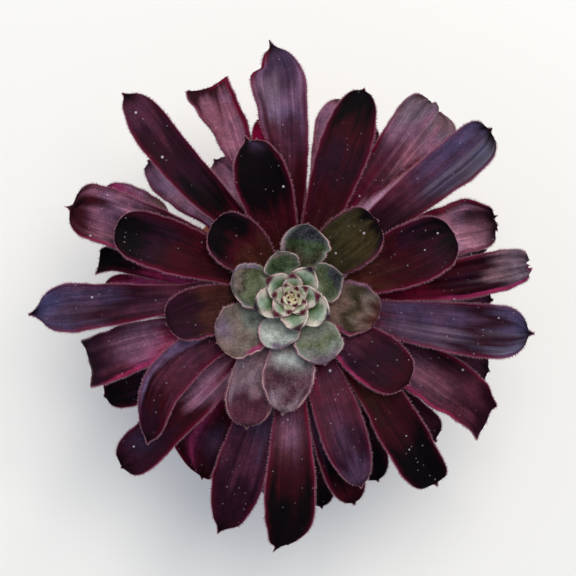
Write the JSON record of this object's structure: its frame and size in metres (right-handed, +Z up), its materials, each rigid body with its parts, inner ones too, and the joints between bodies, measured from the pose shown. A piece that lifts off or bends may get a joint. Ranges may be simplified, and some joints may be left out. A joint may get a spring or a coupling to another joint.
{
  "type": "potted aeonium",
  "caption": "Dark purple aeonium rosette with a green heart, on a short bare stem in a plain round clay pot of soil.",
  "frame": {"origin": "on the ground under the middle of the pot, which is also the bottom centre of the whole plant", "axes": "+Z up along the pot's axis, and the longest leaves spread along +X, -X, +Y and -Y"},
  "size_m": [0.1463, 0.1479, 0.1188],
  "materials": {
    "clay": "unglazed fired clay, matt and slightly rough",
    "soil": "dark crumbly potting soil with grit",
    "bark": "dry grey-brown bark with leaf scars",
    "heart_leaf": "pale green leaf skin with crimson points, satin",
    "young_leaf": "grey-green leaf skin with a pinkish rim, satin",
    "ring_leaf": "grey-green to purple leaf skin with a pinkish rim, satin",
    "dark_leaf": "dark purple leaf skin with a blue-violet bloom and a crimson rim, satin"
  },
  "bodies": {
    "root": {"pot": "clay", "soil": "soil", "stem": "bark", "heart": "heart_leaf", "leaf_00": "young_leaf", "leaf_01": "young_leaf", "leaf_02": "young_leaf", "leaf_03": "young_leaf", "leaf_04": "young_leaf", "leaf_05": "young_leaf", "leaf_06": "ring_leaf", "leaf_07": "ring_leaf", "leaf_08": "ring_leaf", "leaf_09": "ring_leaf", "leaf_10": "ring_leaf", "leaf_11": "ring_leaf", "leaf_12": "dark_leaf", "leaf_13": "dark_leaf", "leaf_14": "dark_leaf", "leaf_15": "dark_leaf", "leaf_16": "dark_leaf", "leaf_17": "dark_leaf", "leaf_18": "dark_leaf", "leaf_19": "dark_leaf", "leaf_20": "dark_leaf", "leaf_21": "dark_leaf", "leaf_22": "dark_leaf", "leaf_23": "dark_leaf", "leaf_24": "dark_leaf", "leaf_25": "dark_leaf", "leaf_26": "dark_leaf", "leaf_27": "dark_leaf", "leaf_28": "dark_leaf", "leaf_29": "dark_leaf", "leaf_30": "dark_leaf", "leaf_31": "dark_leaf", "leaf_32": "dark_leaf", "leaf_33": "dark_leaf", "leaf_34": "dark_leaf", "leaf_35": "dark_leaf", "leaf_36": "dark_leaf", "leaf_37": "dark_leaf", "leaf_38": "dark_leaf", "leaf_39": "dark_leaf", "leaf_41": "dark_leaf", "leaf_42": "dark_leaf", "leaf_43": "dark_leaf", "leaf_44": "dark_leaf", "leaf_46": "dark_leaf", "leaf_47": "dark_leaf", "leaf_48": "dark_leaf", "leaf_49": "dark_leaf", "leaf_50": "dark_leaf", "leaf_51": "dark_leaf", "leaf_52": "dark_leaf", "leaf_53": "dark_leaf", "leaf_56": "dark_leaf", "leaf_58": "dark_leaf"}
  },
  "joints": []
}
